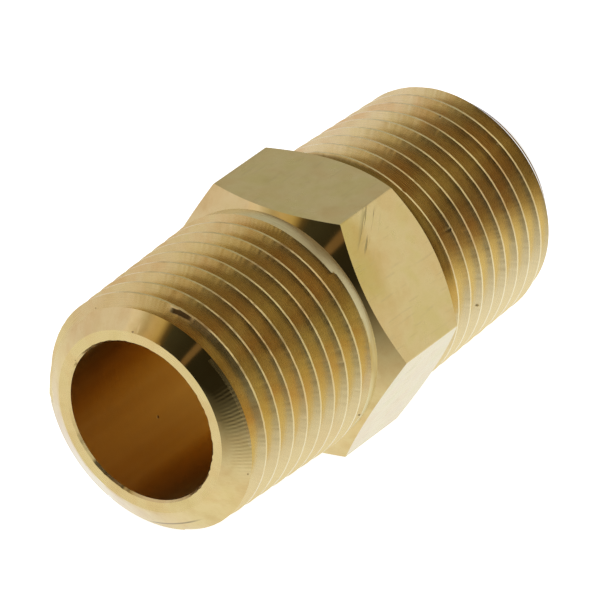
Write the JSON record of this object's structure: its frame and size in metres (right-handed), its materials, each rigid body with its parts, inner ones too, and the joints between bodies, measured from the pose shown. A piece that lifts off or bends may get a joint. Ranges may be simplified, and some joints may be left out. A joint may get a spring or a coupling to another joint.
{
  "type": "hex nipple",
  "caption": "Straight pipe nipple with tapered male threads at both ends, a wrench hexagon between them and a plain through bore.",
  "frame": {"origin": "on the bore's axis, midway between the two end faces", "axes": "+X along the bore towards the end whose thread runs up to the hexagon; the end with the plain band beside the hexagon is at -X; +Z square to the hexagon flat that faces up, so the fitting lies on the flat facing -Z"},
  "size_m": [0.0464, 0.0254, 0.022],
  "materials": {
    "brass_body": "bright machined, fine turning marks"
  },
  "bodies": {
    "root": {"nipple_body": "brass_body"}
  },
  "joints": []
}
